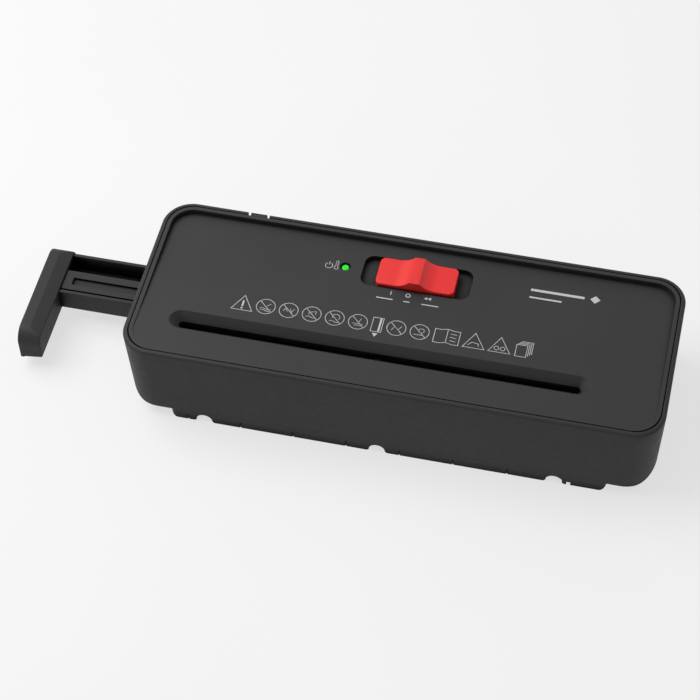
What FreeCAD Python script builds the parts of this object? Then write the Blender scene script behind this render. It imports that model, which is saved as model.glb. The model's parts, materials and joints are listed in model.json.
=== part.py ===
"""Paper shredder head with an extending arm: sits on a waste bin, feeds from the top.

Every sub-part is drawn in a frame with X along the feed slot, Y to the back and Z up, from the
middle of the body. Placement then moves it by body_x and up by the skirt's depth below that
frame, so that the origin of the whole part lies under the middle of the body and the pulled-out
arm together, on the surface that the skirt stands on.
"""
import FreeCAD, Part
import math
import os
import re
import Sketcher

DIMENSIONS = {
    # overall body
    "body_x": 34, "body_length": 299.3, "body_depth": 111.3, "body_top": 55, "body_base": 4.7,
    "plan_radius": 17, "corner_radius": 10.5, "draft_angle": 2, "wall": 2.6, "floor": 2.5,
    "rim_round": 1.7,
    # skirt under the body
    "skirt_base": -2.9, "skirt_left": 123.8, "skirt_right": 123.6, "skirt_depth": 107.9, "skirt_wall": 2.2,
    "skirt_round": 4, "notch_radius": 4.5, "notch_top": 6.2, "notch_flare": 1.9,
    "notch_x": -4.65, "notch_pitch": 99.25, "small_notch_x": 101.6, "small_notch_width": 2.3,
    "rib_pitch": 30.3, "rib_x": -113.2,
    # top cover
    "cover_length": 293, "cover_depth": 105, "cover_radius": 14.5, "cover_base": 47.5,
    "lip_width": 2.3, "panel_sink": 3.4, "panel_fall_end": 47, "panel_thick": 2.5,
    # feed slot
    "slot_x": -9.6, "slot_y": -28.1, "mouth_length": 234, "mouth_width": 13.2,
    "throat_length": 224, "throat_width": 4.4, "mouth_z": 54.3, "funnel_base": 49.3,
    "chute_base": 39.6, "chute_wall": 1.6,
    # slide switch
    "recess_x": 0.8, "recess_y": 28.95, "recess_length": 61.9, "recess_depth": 22.1,
    "recess_radius": 5.5, "recess_floor": 48.8, "switch_x": 1.15, "switch_y": 28.2,
    "slider_length": 44.5, "slider_depth": 19.05, "slider_lift": 0.2, "slider_edge": 5.9,
    "ridge_rise": 4.3, "ridge_width": 5.8, "ramp_length": 9, "slider_radius": 3,
    "stem_length": 8, "stem_depth": 4, "slider_travel": 7,
    "slider_ease": 0.5, "handle_ease": 0.6,
    # power light
    "light_x": -40.1, "light_y": 28.7, "light_hole": 3, "light_radius": 2,
    "light_round": 0.5, "light_top": 51.7,
    # cutter
    "axis_z": 28, "rear_y": -18.8, "front_y": -36.8, "shaft_radius": 4, "disc_radius": 9.8,
    "disc_width": 5.9, "disc_pitch": 12, "disc_count": 19, "first_disc": -121.6,
    "spacer_radius": 6, "left_plate": -125.4, "right_plate": 106.5, "plate_thick": 2,
    "plate_front": -51, "plate_rear": -4.2, "plate_base": 10.2, "plate_top": 45.6,
    "bush_radius": 6, "bush_flange": 8, "bush_gap": 0.05, "rod_radius": 2,
    "rod_inset": 3,
    # gears
    "sync_x": -133.6, "sync_width": 6, "sync_module": 1, "sync_teeth": 18,
    "stage_1_x": 111, "stage_2_x": 118.5, "stage_3_x": 125, "gear_width": 5,
    "drive_teeth": 30, "drive_pinion": 10, "drive_module": 1,
    "middle_teeth": 32, "middle_pinion": 11, "middle_module": 0.8,
    "input_teeth": 36, "input_pinion": 10, "input_module": 0.6,
    "end_plate": 131.5, "end_thick": 1.5, "pin_radius": 2, "backlash": 0.22,
    # motor
    "can_radius": 17.5, "can_wall": 1.5, "can_left": 52, "bell_left": 47, "magnet_inner": 13,
    "armature_radius": 12, "motor_shaft": 1.5, "commutator_radius": 4.5,
    # arm
    "arm_front": 1.8, "arm_rear": 31.3, "arm_top": 21, "arm_base": 7.4, "arm_end": -94,
    "arm_wall": 1.9, "arm_gap": 0.35, "channel_wall": 1.5, "channel_end": -35, "bar_rear": 18.7,
    "pocket_left": -199, "pocket_length": 40, "pocket_front": 8.8, "pocket_width": 5.2,
    "pocket_depth": 1.8,
    "handle_left": -217.65, "handle_right": -204.4, "handle_front": -35.8, "handle_rear": 34.3,
    "handle_base": 6.8, "handle_top": 24.5, "handle_round": 8.8, "handle_bevel": 2.5,
    "bevel_run": 7, "handle_fall": 2.3, "hook_width": 2, "hook_drop": 0.8,
    # board, screws and cable inlet
    "board_z": 41, "board_thick": 1.6, "post_x": 140, "post_y": 41, "post_radius": 4.2,
    "post_joint": 30, "screw_radius": 1.5, "screw_head": 2.8, "rear_post_x": 38,
    "rear_post_y": 46.5, "inlet_x": -96.65, "inlet_z": 30, "inlet_bore": 3.3,
    "inlet_radius": 5.5, "inlet_flange": 7.5, "inlet_seat": 54.25,
    # paper sensor
    "sensor_y": -19.5, "sensor_z": 44.5, "sensor_pin": 1,
}
SIZE = dict(DIMENSIONS)

doc = FreeCAD.newDocument("paper_shredder")
sheet = doc.addObject("Spreadsheet::Sheet", "dims")
for row, (alias, value) in enumerate(DIMENSIONS.items(), start=1):
    sheet.set(f"A{row}", alias)
    sheet.set(f"B{row}", str(value))
    sheet.setAlias(f"B{row}", alias)
doc.recompute()

NODES = []


def cells(text):
    """Turn words such as body_top into references to the sheet's cells."""
    return re.sub(r"\b(?!deg\b)([a-z]\w*)\b(?!\()", r"dims.\1", str(text))


def bind(obj, **sizes):
    """Bind properties to sheet expressions; two underscores stand for a dot in the path."""
    for path, text in sizes.items():
        obj.setExpression(path.replace("__", "."), cells(text))
    return obj


def node(label, obj):
    """Name a finished sub-part and move it from the body's middle to the part's origin."""
    obj.Label = label
    bound = {path.lstrip("."): text for path, text in obj.ExpressionEngine}
    start = bound.get("Placement.Base.x", str(obj.Placement.Base.x))
    obj.setExpression("Placement.Base.x", f"dims.body_x + {start}")
    height = bound.get("Placement.Base.z", str(obj.Placement.Base.z))
    obj.setExpression("Placement.Base.z", f"{height} - dims.skirt_base")
    NODES.append(obj)
    return obj


# ---------------------------------------------------------------- primitives and booleans

def box(x, y, z):
    """A block between two expressions along each axis."""
    block = doc.addObject("Part::Box", "block")
    bind(block, Length=f"({x[1]}) - ({x[0]})", Width=f"({y[1]}) - ({y[0]})",
         Height=f"({z[1]}) - ({z[0]})")
    bind(block, Placement__Base__x=x[0], Placement__Base__y=y[0], Placement__Base__z=z[0])
    return block


def rod(axis, span, centre, radius):
    """A cylinder along X, Y or Z; centre holds the other two coordinates in X, Y, Z order."""
    bar = doc.addObject("Part::Cylinder", "bar")
    bind(bar, Radius=radius, Height=f"({span[1]}) - ({span[0]})")
    if axis == "x":
        place = (span[0], centre[0], centre[1])
        turn = FreeCAD.Rotation(FreeCAD.Vector(0, 1, 0), 90)
    elif axis == "y":
        place = (centre[0], span[0], centre[1])
        turn = FreeCAD.Rotation(FreeCAD.Vector(1, 0, 0), -90)
    else:
        place = (centre[0], centre[1], span[0])
        turn = FreeCAD.Rotation()
    bar.Placement = FreeCAD.Placement(FreeCAD.Vector(0, 0, 0), turn)
    bind(bar, Placement__Base__x=place[0], Placement__Base__y=place[1], Placement__Base__z=place[2])
    return bar


def fuse(*pieces):
    """One solid from several that touch or overlap."""
    result = doc.addObject("Part::MultiFuse", "union")
    result.Shapes = list(pieces)
    result.Refine = True
    return result


def common(*pieces):
    result = doc.addObject("Part::MultiCommon", "overlap")
    result.Shapes = list(pieces)
    return result


def group(*pieces):
    """Separate solids kept in one sub-part, such as a set of screws."""
    result = doc.addObject("Part::Compound", "set_of_pieces")
    result.Links = list(pieces)
    return result


def cut(base, *tools):
    result = doc.addObject("Part::Cut", "remainder")
    result.Base = base
    result.Tool = tools[0] if len(tools) == 1 else group(*tools)
    return result


def ring(axis, span, centre, radius, bore):
    """A tube, washer or bush."""
    return cut(rod(axis, span, centre, radius), rod(axis, span, centre, bore))


def eased(base, radius, wanted):
    """Round the edges of a finished shape for which wanted(edge) is true."""
    doc.recompute()
    result = doc.addObject("Part::Fillet", "eased")
    result.Base = base
    reach = SIZE[radius]
    result.Edges = [(index, reach, reach) for index, edge in enumerate(base.Shape.Edges, start=1)
                    if wanted(edge)]
    doc.recompute()
    return result


def free_shape(shape):
    """A shape made with Part's own functions, for outlines that no feature gives."""
    piece = doc.addObject("Part::Feature", "free_shape")
    piece.Shape = shape
    return piece


# ---------------------------------------------------------------- sketches and pads

def origin_plane(body, role):
    return next(item for item in body.Origin.OriginFeatures if item.Role == role)


def rectangle_sketch(body, plane, first, second, offset="0"):
    """A rectangle between two expressions on each of the plane's axes."""
    sketch = body.newObject("Sketcher::SketchObject", "outline")
    sketch.AttachmentSupport = [(origin_plane(body, plane), "")]
    sketch.MapMode = "FlatFace"
    bind(sketch, AttachmentOffset__Base__z=offset)
    corners = [FreeCAD.Vector(-10, -10, 0), FreeCAD.Vector(10, -10, 0),
               FreeCAD.Vector(10, 10, 0), FreeCAD.Vector(-10, 10, 0)]
    for start in range(4):
        sketch.addGeometry(Part.LineSegment(corners[start], corners[(start + 1) % 4]))
        sketch.addConstraint(Sketcher.Constraint("Horizontal" if start % 2 == 0 else "Vertical", start))
    for start in range(4):
        sketch.addConstraint(Sketcher.Constraint("Coincident", start, 2, (start + 1) % 4, 1))
    limits = [("DistanceX", 0, first[0]), ("DistanceX", 2, first[1]),
              ("DistanceY", 0, second[0]), ("DistanceY", 2, second[1])]
    for kind, line, text in limits:
        index = sketch.addConstraint(Sketcher.Constraint(kind, -1, 1, line, 1, 10.0))
        sketch.setExpression(f"Constraints[{index}]", cells(text))
    return sketch


def pad(body, sketch, length, **options):
    feature = body.newObject("PartDesign::Pad", "pad")
    feature.Profile = sketch
    for name, setting in options.items():
        setattr(feature, name, setting)
    bind(feature, Length=length)
    doc.recompute()
    return feature


def round_edges(body, feature, radius, wanted):
    """Fillet the edges of a feature for which wanted(edge) is true."""
    names = [f"Edge{index}" for index, edge in enumerate(feature.Shape.Edges, start=1) if wanted(edge)]
    rounding = body.newObject("PartDesign::Fillet", "rounding")
    rounding.Base = (feature, names)
    bind(rounding, Radius=radius)
    doc.recompute()
    return rounding


def upright(edge):
    """True for an edge that runs mostly along Z."""
    start, end = (vertex.Point for vertex in edge.Vertexes)
    return abs(end.z - start.z) > 4 * math.hypot(end.x - start.x, end.y - start.y)


def rounded_block(x, y, z, radius):
    """A block whose upright edges are rounded."""
    body = doc.addObject("PartDesign::Body", "rounded_block")
    sketch = rectangle_sketch(body, "XY_Plane", x, y, z[0])
    block = pad(body, sketch, f"({z[1]}) - ({z[0]})")
    round_edges(body, block, radius, upright)
    return body


def moulded_block(x, y, z, plan_radius, corner_radius, rim_radius=None):
    """A drafted block, rounded in plan, whose lower left and right edges are rounded too."""
    plan = doc.addObject("PartDesign::Body", "plan_block")
    sketch = rectangle_sketch(plan, "XY_Plane", x, y, z[1])
    block = pad(plan, sketch, f"({z[1]}) - ({z[0]})", Reversed=True)
    bind(block, TaperAngle="-draft_angle")
    doc.recompute()
    rounded = round_edges(plan, block, plan_radius, upright)
    if rim_radius:
        round_edges(plan, rounded, rim_radius, at_top)
    inset = f"(({z[1]}) - ({z[0]}) - ({corner_radius})) * tan(draft_angle * 1 deg)"
    front = doc.addObject("PartDesign::Body", "front_block")
    profile = rectangle_sketch(front, "XZ_Plane", (f"({x[0]}) + {inset}", f"({x[1]}) - {inset}"),
                               (z[0], f"({z[1]}) + 20"))
    slab = pad(front, profile, "body_depth * 2", Midplane=True)
    round_edges(front, slab, corner_radius, lambda edge: lower_side_edge(edge, slab.Shape))
    # above its rounded corners the front outline widens, so that only the draft shapes the sides
    wide = box((f"({x[0]}) - 1", f"({x[1]}) + 1"), ("-body_depth", "body_depth"),
               (f"({z[0]}) + ({corner_radius})", f"({z[1]}) + 20"))
    return common(plan, fuse(front, wide))


def at_top(edge):
    """True for an edge of the body's top rim."""
    return min(vertex.Point.z for vertex in edge.Vertexes) > SIZE["body_top"] - 0.01


def lower_side_edge(edge, shape):
    """True for the two edges along Y at the bottom of a block."""
    start, end = (vertex.Point for vertex in edge.Vertexes)
    return abs(end.y - start.y) > 10 and max(start.z, end.z) < shape.BoundBox.ZMin + 0.01


def stadium_prism(x, y, width, z):
    """An upright block with round ends, as long as x says and as wide as width."""
    half = f"({width}) / 2"
    middle = box((f"({x[0]}) + {half}", f"({x[1]}) - {half}"),
                 (f"({y}) - {half}", f"({y}) + {half}"), z)
    ends = [rod("z", z, (f"({x[0]}) + {half}", y), half), rod("z", z, (f"({x[1]}) - {half}", y), half)]
    return fuse(middle, *ends)


# ---------------------------------------------------------------- places used by several sub-parts

SLOT_MOUTH = ("slot_x - mouth_length / 2", "slot_x + mouth_length / 2")
SLOT_THROAT = ("slot_x - throat_length / 2", "slot_x + throat_length / 2")
POSTS = [("-post_x", "post_y"), ("-post_x", "-post_y"), ("post_x", "post_y"), ("post_x", "-post_y"),
         ("rear_post_x", "rear_post_y")]
PANEL_TILT = -math.degrees(math.atan(SIZE["panel_sink"] / (SIZE["cover_depth"] / 2 - SIZE["lip_width"]
                                                            + SIZE["panel_fall_end"])))
PANEL_BACK = "cover_depth / 2 - lip_width"
PANEL_SIDE = "cover_length / 2 - lip_width"
BUSH_PLACES = [("rear_y", "axis_z"), ("front_y", "axis_z")]
ROD_PLACES = [(y, z) for y in ("plate_front + rod_inset", "plate_rear - rod_inset")
              for z in ("plate_base + rod_inset", "plate_top - rod_inset")]
MIDDLE_Y = "rear_y + drive_module * (drive_teeth + drive_pinion) / 2"
INPUT_Y = f"{MIDDLE_Y} + middle_module * (middle_teeth + middle_pinion) / 2"
MOTOR_Y = f"{INPUT_Y} + input_module * (input_teeth + input_pinion) / 2"
STANDOFFS = [("-42", "39.5"), ("-42", "16.5"), ("41", "41.5"), ("41", "14.5")]
GUARD_SCREWS = [(x, y) for x in ("-100", "90") for y in ("front_y - 11.2", "rear_y + 12.2")]
CHANNEL_SCREWS = [(x, y) for x in ("-112", "-50") for y in ("arm_front - 3.4", "arm_rear + 3.4")]
BOARD_SCREWS = [(x, y) for x in ("-86", "-38") for y in ("13", "45")]


# ---------------------------------------------------------------- casing

def skirt_notches():
    """Round-topped notches with flared mouths through the front and rear skirt."""
    notches = []
    through = ("-body_depth", "body_depth")
    for step in (-1, 0, 1):
        middle = f"notch_x + ({step}) * notch_pitch"
        centre_z = "skirt_base + notch_top - notch_radius"
        notches.append(rod("y", through, (middle, centre_z), "notch_radius"))
        notches.append(box((f"{middle} - notch_radius", f"{middle} + notch_radius"), through,
                           ("skirt_base - 1", centre_z)))
        reach = "(notch_radius + notch_flare)"
        flare_top = "skirt_base + notch_flare"
        flare = box((f"{middle} - {reach}", f"{middle} + {reach}"), through, ("skirt_base - 1", flare_top))
        sides = [rod("y", through, (f"{middle} {sign} {reach}", flare_top), "notch_flare")
                 for sign in "+-"]
        notches.append(cut(flare, *sides))
    return notches


def lower_housing():
    """Tub with drafted walls, floor, screw posts and the skirt that drops inside a bin's rim."""
    half_length = "body_length / 2"
    half_depth = "body_depth / 2"
    outside = moulded_block((f"-{half_length}", half_length), (f"-{half_depth}", half_depth),
                            ("body_base", "body_top"), "plan_radius", "corner_radius", "rim_round")
    inside = moulded_block((f"-{half_length} + wall", f"{half_length} - wall"),
                           (f"-{half_depth} + wall", f"{half_depth} - wall"),
                           ("body_base + floor", "body_top"), "plan_radius - wall",
                           "corner_radius - floor")
    skirt_back = "skirt_depth / 2"
    skirt_out = moulded_block(("-skirt_left", "skirt_right"), (f"-{skirt_back}", skirt_back),
                              ("skirt_base", "body_base + 1"), "skirt_round", "skirt_round")
    skirt_in = rounded_block(("-skirt_left + skirt_wall", "skirt_right - skirt_wall"),
                             (f"-{skirt_back} + skirt_wall", f"{skirt_back} - skirt_wall"),
                             ("skirt_base - 1", "body_base"), "skirt_round - skirt_wall")
    posts = [rod("z", ("body_base", "post_joint"), place, "post_radius") for place in POSTS]
    plate_ribs = []
    for side, ledge in (("left_plate - 2.1", "left_plate - 2.1"),
                        ("right_plate + plate_thick + 0.1", "right_plate - 2")):
        for front in ("plate_front + 14", "plate_rear - 13"):
            plate_ribs.append(box((side, f"{side} + 2"), (front, f"{front} + 5"),
                                  ("body_base + 1", "plate_base + 5")))
            plate_ribs.append(box((ledge, f"{ledge} + 6"), (front, f"{front} + 5"),
                                  ("body_base + 1", "plate_base")))
    cradle = [box((f"{place} - 2", f"{place} + 2"), (f"{MOTOR_Y} - 14", f"{MOTOR_Y} + 14"),
                  ("body_base + 1", "axis_z - 6")) for place in ("can_left + 12", "right_plate - 14")]
    motor_space = rod("x", ("can_left", "right_plate"), (MOTOR_Y, "axis_z"), "can_radius + 0.05")
    shell = cut(outside, inside)
    insides = common(fuse(*posts, *plate_ribs, cut(group(*cradle), motor_space)), outside)
    solid = fuse(shell, insides, cut(skirt_out, skirt_in))
    holes = skirt_notches()
    for place in POSTS:
        holes.append(rod("z", ("body_base - 1", "body_base + 5"), place, "screw_head + 0.2"))
        holes.append(rod("z", ("body_base", "body_top"), place, "screw_radius + 0.2"))
    # strip outlet under the cutters
    holes.append(box(("left_plate + plate_thick + 4.5", "right_plate - 4"),
                     ("front_y - 9.2", "rear_y + 9.5"), ("body_base - 1", "body_base + floor + 6")))
    # the arm runs on the floor, over a slot for its stop, and out through the left wall
    holes.append(box(("-skirt_left + skirt_wall + 1", "channel_end - 4"),
                     ("arm_front + 6", "arm_rear - 6"), ("body_base - 1", "body_base + floor + 1")))
    holes.append(box((f"-{half_length} - 5", "-body_length / 2 + corner_radius + 2"),
                     ("arm_front - arm_gap", "arm_rear + arm_gap"),
                     ("body_base + floor", "arm_top + arm_gap")))
    # cable inlet and the clip tab above it
    holes.append(rod("y", ("body_depth / 2 - 8", "body_depth / 2 + 5"), ("inlet_x", "inlet_z"),
                     "inlet_radius"))
    holes.append(rod("y", ("inlet_seat", "body_depth / 2 + 5"), ("inlet_x", "inlet_z"),
                     "inlet_flange + 0.1"))
    rear_wall = ("body_depth / 2 - wall - 0.6", "body_depth / 2 + 1")
    for side in ("inlet_x - 6.4", "inlet_x + 4.6"):
        holes.append(box((side, f"{side} + 1.8"), rear_wall, ("body_top - 6", "body_top + 1")))
    holes.append(box(("inlet_x - 5", "inlet_x + 5"), rear_wall, ("body_top - 0.6", "body_top + 1")))
    # screw holes for the arm channel plate and the strip guard
    for place in CHANNEL_SCREWS + GUARD_SCREWS:
        holes.append(rod("z", ("body_base - 1", "body_base + floor + 1"), place, "screw_radius"))
    # small notch and the fine slits in the front skirt
    front_wall = ("-skirt_depth / 2 - 1", "-skirt_depth / 2 + 4")
    holes.append(box(("small_notch_x", "small_notch_x + small_notch_width"), front_wall,
                     ("skirt_base - 1", "skirt_base + 2.6")))
    for step in range(8):
        place = f"rib_x + {step} * rib_pitch"
        holes.append(box((f"{place} - 0.4", f"{place} + 0.4"),
                         ("-skirt_depth / 2 - 1", "-skirt_depth / 2 + 0.8"),
                         ("skirt_base - 1", "skirt_base + 5")))
    tub = cut(solid, *holes)
    doc.recompute()
    return tub


def top_cover():
    """Cover that drops into the tub: raised lip, sloping sunken panel, feed slot and switch recess."""
    half_length = "cover_length / 2"
    half_depth = "cover_depth / 2"
    block = rounded_block((f"-{half_length}", half_length), (f"-{half_depth}", half_depth),
                          ("cover_base", "body_top"), "cover_radius")
    sink = tilted_block(PANEL_SIDE, "cover_depth - 2 * lip_width", "0", "12", "cover_radius - lip_width",
                        "body_top - panel_sink")
    hollow = tilted_block(PANEL_SIDE, "cover_depth - 2 * lip_width", "-16", "0",
                          "cover_radius - lip_width", "body_top - panel_sink - panel_thick")
    collar = rounded_block((f"{SLOT_MOUTH[0]} - 2", f"{SLOT_MOUTH[1]} + 2"),
                           ("slot_y - mouth_width / 2 - 2", "slot_y + mouth_width / 2 + 2"),
                           ("funnel_base - 2", "funnel_base + 4"), "5")
    recess_x = ("recess_x - recess_length / 2", "recess_x + recess_length / 2")
    recess_y = ("recess_y - recess_depth / 2", "recess_y + recess_depth / 2")
    tray = rounded_block((f"{recess_x[0]} - 2", f"{recess_x[1]} + 2"),
                         (f"{recess_y[0]} - 2", f"{recess_y[1]} + 2"),
                         ("recess_floor - 2", "recess_floor + 2"), "recess_radius + 2")
    recess = rounded_block(recess_x, recess_y, ("recess_floor", "body_top"), "recess_radius")
    stem_slot = box(("switch_x - stem_length / 2 - slider_travel - 0.4",
                     "switch_x + stem_length / 2 + slider_travel + 0.4"),
                    ("switch_y - stem_depth / 2 - 0.3", "switch_y + stem_depth / 2 + 0.3"),
                    ("recess_floor - 3", "recess_floor + 1"))
    light_hole = rod("z", ("cover_base", "body_top"), ("light_x", "light_y"), "light_hole")
    posts = [rod("z", ("post_joint", "body_top - 2"), place, "3.2") for place in POSTS]
    board_posts = [rod("z", ("board_z + board_thick", "body_top - 2"), place, "2.4")
                   for place in BOARD_SCREWS]
    pilots = [rod("z", ("post_joint - 1", "post_joint + 10"), place, "screw_radius") for place in POSTS]
    pilots += [rod("z", ("board_z", "board_z + board_thick + 5"), place, "1.1") for place in BOARD_SCREWS]
    ears = [box((f"slot_x {sign} 3.6 - 1", f"slot_x {sign} 3.6 + 1"), ("sensor_y - 2.2", "sensor_y + 2.2"),
                ("sensor_z - 1.8", "body_top - 2.5")) for sign in "+-"]
    pin_hole = rod("x", ("slot_x - 5", "slot_x + 5"), ("sensor_y", "sensor_z"), "sensor_pin")
    shell = fuse(cut(block, hollow), collar, tray, *posts, *board_posts, *ears)
    return cut(shell, sink, feed_funnel(), recess, stem_slot, light_hole, pin_hole, *pilots)


def tilted_block(side, depth, low, high, radius, back_z):
    """A rounded block whose reference face falls towards the back, as the cover's panel does."""
    body = doc.addObject("PartDesign::Body", "tilted_block")
    sketch = rectangle_sketch(body, "XY_Plane", (f"-({side})", side), (f"-({depth})", "0"), low)
    block = pad(body, sketch, f"({high}) - ({low})")
    round_edges(body, block, radius, upright)
    body.Placement.Rotation = FreeCAD.Rotation(FreeCAD.Vector(1, 0, 0), PANEL_TILT)
    bind(body, Placement__Base__y=PANEL_BACK, Placement__Base__z=back_z)
    return body


def stadium_wire(length, width, z):
    """Closed outline of the feed slot at height z."""
    reach = length / 2 - width / 2
    left = SIZE["slot_x"] - reach
    right = SIZE["slot_x"] + reach
    back = SIZE["slot_y"] + width / 2
    front = SIZE["slot_y"] - width / 2
    far_right = FreeCAD.Vector(right + width / 2, SIZE["slot_y"], z)
    far_left = FreeCAD.Vector(left - width / 2, SIZE["slot_y"], z)
    return Part.Wire([
        Part.LineSegment(FreeCAD.Vector(left, front, z), FreeCAD.Vector(right, front, z)).toShape(),
        Part.Arc(FreeCAD.Vector(right, front, z), far_right, FreeCAD.Vector(right, back, z)).toShape(),
        Part.LineSegment(FreeCAD.Vector(right, back, z), FreeCAD.Vector(left, back, z)).toShape(),
        Part.Arc(FreeCAD.Vector(left, back, z), far_left, FreeCAD.Vector(left, front, z)).toShape(),
    ])


def feed_funnel():
    """The feed slot's tool: a straight mouth, a tapering funnel and the narrow throat."""
    mouth = stadium_prism(SLOT_MOUTH, "slot_y", "mouth_width", ("mouth_z", "body_top + 1"))
    throat = stadium_prism(SLOT_THROAT, "slot_y", "throat_width", ("funnel_base - 3", "funnel_base"))
    wires = [stadium_wire(SIZE["throat_length"], SIZE["throat_width"], SIZE["funnel_base"]),
             stadium_wire(SIZE["mouth_length"], SIZE["mouth_width"], SIZE["mouth_z"])]
    funnel = free_shape(Part.makeLoft(wires, True))
    return fuse(mouth, funnel, throat)


def paper_chute():
    """Straight guide below the funnel that leads the sheets down to the cutters."""
    outer = stadium_prism((f"{SLOT_THROAT[0]} - chute_wall", f"{SLOT_THROAT[1]} + chute_wall"), "slot_y",
                          "throat_width + 2 * chute_wall", ("chute_base", "funnel_base - 2"))
    inner = stadium_prism(SLOT_THROAT, "slot_y", "throat_width", ("chute_base - 1", "funnel_base"))
    window = box(("slot_x - 2.2", "slot_x + 2.2"), ("slot_y", "slot_y + 10"),
                 ("chute_base - 1", "chute_base + 6"))
    return cut(outer, inner, window)


def strip_guard():
    """Grille under the cutters: strips fall between its bars and fingers stay out."""
    x = ("-skirt_left + skirt_wall + 0.5", "right_plate - 0.5")
    y = ("front_y - 13.6", "rear_y + 14.7")
    z = ("body_base - 2", "body_base - 0.05")
    frame_piece = box(x, y, z)
    bays = []
    bay = f"(({x[1]}) - ({x[0]}) - 2 * 3.5) / 6"
    for step in range(6):
        left = f"({x[0]}) + 3.5 + {step} * {bay}"
        bays.append(box((f"{left} + 1.2", f"{left} + {bay} - 1.2"), ("front_y - 9", "rear_y + 9"),
                        ("body_base - 3", "body_base + 1")))
    for place in GUARD_SCREWS:
        bays.append(rod("z", ("body_base - 3", "body_base + 1"), place, "screw_radius + 0.15"))
    return cut(frame_piece, *bays)


def screws(places, head_z, length, shank, head, head_height):
    """Round-headed screws driven upwards, with their heads below head_z."""
    pieces = []
    for place in places:
        pieces.append(fuse(rod("z", (head_z, f"({head_z}) + {length}"), place, shank),
                           rod("z", (f"({head_z}) - {head_height}", head_z), place, head)))
    return group(*pieces)


# ---------------------------------------------------------------- cutter

def side_plate(left, y, extra_holes):
    """Steel plate with holes for the bushes, tie rods and whatever else it carries."""
    x = (left, f"{left} + plate_thick")
    through = (f"{left} - 1", f"{left} + plate_thick + 1")
    holes = [rod("x", through, place, "bush_radius") for place in BUSH_PLACES]
    holes += [rod("x", through, place, "rod_radius") for place in ROD_PLACES]
    holes += [rod("x", through, place, radius) for place, radius in extra_holes]
    return cut(rounded_plate(x, y, ("plate_base", "plate_top"), "4"), *holes)


def rounded_plate(x, y, z, radius):
    """A plate square to X with rounded corners."""
    body = doc.addObject("PartDesign::Body", "plate")
    sketch = rectangle_sketch(body, "YZ_Plane", y, z, x[0])
    block = pad(body, sketch, f"({x[1]}) - ({x[0]})")
    round_edges(body, block, radius, along_x)
    return body


def along_x(edge):
    start, end = (vertex.Point for vertex in edge.Vertexes)
    return abs(end.x - start.x) > 0.1


def cutter_bushes():
    """Flanged bushes pressed into the side plates."""
    bushes = []
    right_face = "right_plate + plate_thick"
    for y, z in BUSH_PLACES:
        for plate, flange in (("left_plate", ("left_plate - 1.2", "left_plate")),
                              ("right_plate", (right_face, f"{right_face} + 1.2"))):
            sleeve = rod("x", (plate, f"{plate} + plate_thick"), (y, z), "bush_radius")
            collar = rod("x", flange, (y, z), "bush_flange")
            bore = rod("x", (f"{plate} - 3", f"{plate} + plate_thick + 3"), (y, z),
                       "shaft_radius + bush_gap")
            bushes.append(cut(fuse(sleeve, collar), bore))
    return group(*bushes)


def notched_disc():
    """Outline of one cutting disc: a circle with small notches that pull the paper in."""
    radius = SIZE["disc_radius"]
    notch_count = 12
    notch_depth = 0.9
    notch_angle = math.radians(7)
    pitch = 2 * math.pi / notch_count
    edges = []
    for step in range(notch_count):
        start = step * pitch + notch_angle
        end = (step + 1) * pitch
        points = [turned(radius, start), turned(radius, (start + end) / 2), turned(radius, end)]
        edges.append(Part.Arc(*points).toShape())
        edges.append(Part.LineSegment(points[2], turned(radius - notch_depth, end)).toShape())
        edges.append(Part.LineSegment(turned(radius - notch_depth, end),
                                      turned(radius, end + notch_angle)).toShape())
    face = Part.Face([Part.Wire(edges), Part.Wire(Part.Circle(
        FreeCAD.Vector(0, 0, 0), FreeCAD.Vector(1, 0, 0), SIZE["shaft_radius"]).toShape())])
    face.validate()
    return face.extrude(FreeCAD.Vector(SIZE["disc_width"], 0, 0))


def turned(radius, angle):
    """Point at an angle from +Y towards +Z in the plane square to X."""
    return FreeCAD.Vector(0, radius * math.cos(angle), radius * math.sin(angle))


def cutter_discs(y, first, count):
    """A row of equal cutting discs on one shaft."""
    pattern = notched_disc()
    discs = []
    for step in range(count):
        disc = pattern.copy()
        disc.translate(FreeCAD.Vector(first + step * SIZE["disc_pitch"], y, SIZE["axis_z"]))
        discs.append(disc)
    return free_shape(Part.makeCompound(discs))


def disc_spacers(y, first, count):
    """Collars that keep the discs of one shaft apart."""
    collars = []
    for step in range(count):
        left = f"{first} + disc_width + {step} * disc_pitch"
        collars.append(ring("x", (left, f"{left} + disc_pitch - disc_width"), (y, "axis_z"),
                            "spacer_radius", "shaft_radius"))
    return group(*collars)


def stripper(bar_y, finger_y, first, count):
    """Comb whose fingers reach between the discs and keep strips from wrapping round."""
    comb = [box(("left_plate + plate_thick", "right_plate"), bar_y, ("axis_z - 8", "axis_z + 8"))]
    for step in range(count):
        left = f"{first} + disc_width + {step} * disc_pitch + 0.6"
        comb.append(box((left, f"{left} + disc_pitch - disc_width - 1.2"), finger_y,
                        ("axis_z - 5", "axis_z + 5")))
    return fuse(*comb)


# ---------------------------------------------------------------- gears

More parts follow.
